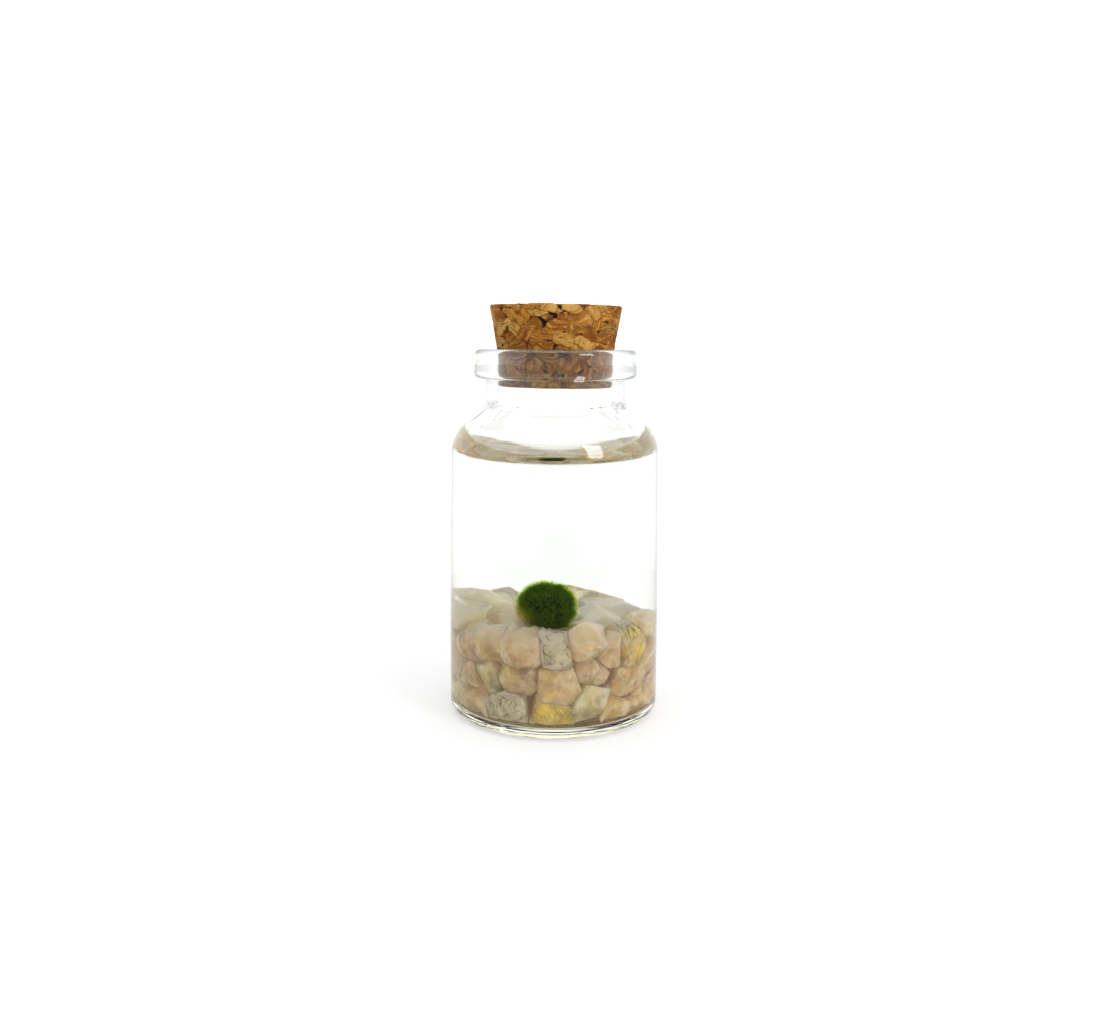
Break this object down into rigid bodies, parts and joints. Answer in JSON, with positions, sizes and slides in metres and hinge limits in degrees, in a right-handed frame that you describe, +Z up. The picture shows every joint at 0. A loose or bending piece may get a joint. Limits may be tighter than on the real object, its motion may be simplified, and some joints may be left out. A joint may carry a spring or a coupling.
{
  "type": "marimo moss ball in a corked glass vial",
  "caption": "Corked clear glass vial of water with a small green marimo moss ball resting on a bed of tumbled quartz chips.",
  "frame": {"origin": "centre of the vial's flat base, on the surface it stands on", "axes": "+Z up along the vial's axis; -Y is the front, where the moss ball shows nearest the glass; +X to the right seen from the front"},
  "size_m": [0.03, 0.03, 0.058],
  "materials": {
    "glass": "clear drawn tubing glass, fire-polished lip, faint green at the thick base",
    "cork": "agglomerated cork: pressed tan and orange-brown granules with dark seams",
    "water": "clear still water",
    "moss": "short soft algae filaments, dark green, yellower at the edge",
    "rose_quartz": "tumbled milky pink to tan quartz, wet and translucent",
    "clear_quartz": "tumbled clear quartz, slightly cloudy",
    "rutile_quartz": "tumbled clear quartz with fine golden needles",
    "tourmaline_quartz": "tumbled milky quartz with thin black needles"
  },
  "bodies": {
    "root": {"bottle": "glass", "clear_quartz_01": "clear_quartz", "clear_quartz_02": "clear_quartz", "clear_quartz_03": "clear_quartz", "clear_quartz_04": "clear_quartz", "clear_quartz_05": "clear_quartz", "clear_quartz_06": "clear_quartz", "clear_quartz_07": "clear_quartz", "clear_quartz_08": "clear_quartz", "clear_quartz_09": "clear_quartz", "clear_quartz_10": "clear_quartz", "clear_quartz_11": "clear_quartz", "clear_quartz_12": "clear_quartz", "clear_quartz_13": "clear_quartz", "clear_quartz_14": "clear_quartz", "clear_quartz_15": "clear_quartz", "cork": "cork", "moss_ball": "moss", "rose_quartz_01": "rose_quartz", "rose_quartz_02": "rose_quartz", "rose_quartz_03": "rose_quartz", "rose_quartz_04": "rose_quartz", "rose_quartz_05": "rose_quartz", "rose_quartz_06": "rose_quartz", "rose_quartz_07": "rose_quartz", "rose_quartz_08": "rose_quartz", "rose_quartz_09": "rose_quartz", "rose_quartz_10": "rose_quartz", "rose_quartz_11": "rose_quartz", "rose_quartz_12": "rose_quartz", "rose_quartz_13": "rose_quartz", "rose_quartz_14": "rose_quartz", "rose_quartz_15": "rose_quartz", "rose_quartz_16": "rose_quartz", "rose_quartz_17": "rose_quartz", "rose_quartz_18": "rose_quartz", "rose_quartz_19": "rose_quartz", "rose_quartz_20": "rose_quartz", "rose_quartz_21": "rose_quartz", "rose_quartz_22": "rose_quartz", "rose_quartz_23": "rose_quartz", "rose_quartz_24": "rose_quartz", "rose_quartz_25": "rose_quartz", "rose_quartz_26": "rose_quartz", "rose_quartz_27": "rose_quartz", "rose_quartz_28": "rose_quartz", "rutile_quartz_01": "rutile_quartz", "rutile_quartz_02": "rutile_quartz", "rutile_quartz_03": "rutile_quartz", "rutile_quartz_04": "rutile_quartz", "tourmaline_quartz_01": "tourmaline_quartz", "tourmaline_quartz_02": "tourmaline_quartz", "water": "water"}
  },
  "joints": []
}
